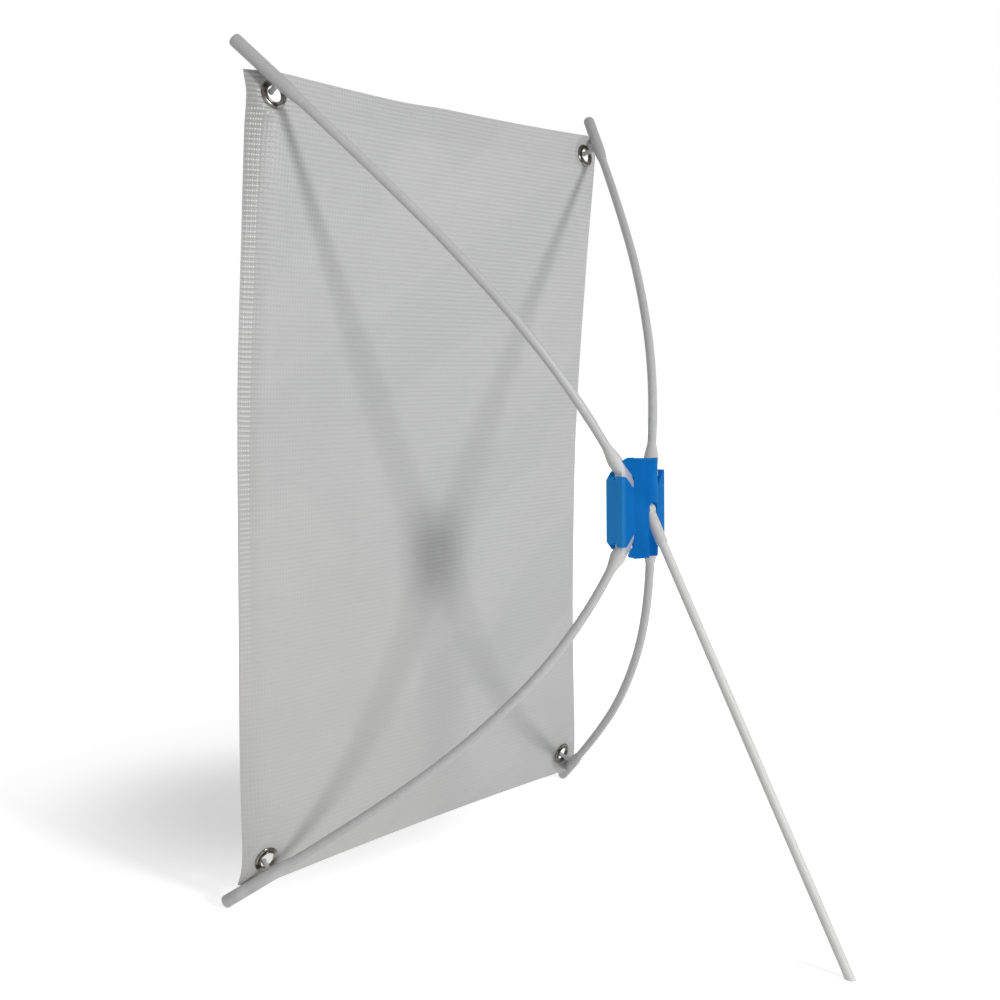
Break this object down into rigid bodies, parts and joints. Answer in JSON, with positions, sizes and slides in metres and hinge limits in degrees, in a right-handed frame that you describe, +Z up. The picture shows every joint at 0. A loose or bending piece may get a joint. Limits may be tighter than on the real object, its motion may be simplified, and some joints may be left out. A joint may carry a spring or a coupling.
{
  "type": "x banner stand",
  "caption": "Small table banner stand: a blue hub holds four bowed white rods in an X and a straight rear leg, and the rods stretch a plain white banner by its corner eyelets.",
  "frame": {"origin": "centre of the bounding box's floor, below the middle of the stand", "axes": "+Z up, -Y towards the banner's printed front, +Y towards the rear leg, +X to the left as seen from behind"},
  "size_m": [0.2954, 0.29, 0.4451],
  "materials": {
    "banner": "woven scrim, satin",
    "nickel": "nickel-plated, bright",
    "rod_white": "smooth satin",
    "tip_white": "moulded satin",
    "arm_white": "moulded satin",
    "hub_blue": "translucent gloss",
    "pin_steel": "drawn"
  },
  "bodies": {
    "hub": {"hub_front_plate": "hub_blue", "hub_rear_shell": "hub_blue", "leg_pin": "pin_steel", "arm_pin_upper_left": "pin_steel", "arm_pin_upper_right": "pin_steel", "arm_pin_lower_left": "pin_steel", "arm_pin_lower_right": "pin_steel"},
    "banner": {"banner_sheet": "banner", "eyelet_upper_left": "nickel", "eyelet_upper_right": "nickel", "eyelet_lower_left": "nickel", "eyelet_lower_right": "nickel", "eyelet_washer_upper_left": "nickel", "eyelet_washer_upper_right": "nickel", "eyelet_washer_lower_left": "nickel", "eyelet_washer_lower_right": "nickel"},
    "leg": {"leg_rod": "rod_white", "leg_knuckle": "arm_white"},
    "arm_upper_left": {"arm_upper_left": "arm_white", "rod_upper_left": "rod_white", "tip_upper_left": "tip_white"},
    "arm_upper_right": {"arm_upper_right": "arm_white", "rod_upper_right": "rod_white", "tip_upper_right": "tip_white"},
    "arm_lower_left": {"arm_lower_left": "arm_white", "rod_lower_left": "rod_white", "tip_lower_left": "tip_white"},
    "arm_lower_right": {"arm_lower_right": "arm_white", "rod_lower_right": "rod_white", "tip_lower_right": "tip_white"}
  },
  "joints": [
    {"name": "banner_unhook", "type": "slide", "parent": "hub", "child": "banner", "axis": [0, -0.9996, 0.0297], "range_m": [0, 0.35]},
    {"name": "fold_upper_left", "type": "hinge", "parent": "hub", "child": "arm_upper_left", "pos_m": [0.00625, 0.01457, 0.22087], "axis": [0, -0.9995, -0.0314], "range_deg": [0, 29.5]},
    {"name": "fold_upper_right", "type": "hinge", "parent": "hub", "child": "arm_upper_right", "pos_m": [-0.00625, 0.01457, 0.22087], "axis": [0, 0.9995, 0.0314], "range_deg": [0, 29.5]},
    {"name": "fold_lower_left", "type": "hinge", "parent": "hub", "child": "arm_lower_left", "pos_m": [0.00625, 0.01506, 0.20548], "axis": [0, 0.9995, 0.0314], "range_deg": [0, 27.5]},
    {"name": "fold_lower_right", "type": "hinge", "parent": "hub", "child": "arm_lower_right", "pos_m": [-0.00625, 0.01506, 0.20548], "axis": [0, -0.9995, -0.0314], "range_deg": [0, 27.5]},
    {"name": "leg_fold", "type": "hinge", "parent": "hub", "child": "leg", "pos_m": [0, 0.02181, 0.2134], "axis": [-1, 0, 0], "range_deg": [0, 27.5]}
  ],
  "couplings": [
    {"joint": "fold_upper_left", "follows": "banner_unhook", "rad_per_m": 1.4461},
    {"joint": "fold_upper_right", "follows": "banner_unhook", "rad_per_m": 1.4461},
    {"joint": "fold_lower_left", "follows": "banner_unhook", "rad_per_m": 1.3464},
    {"joint": "fold_lower_right", "follows": "banner_unhook", "rad_per_m": 1.3464}
  ]
}
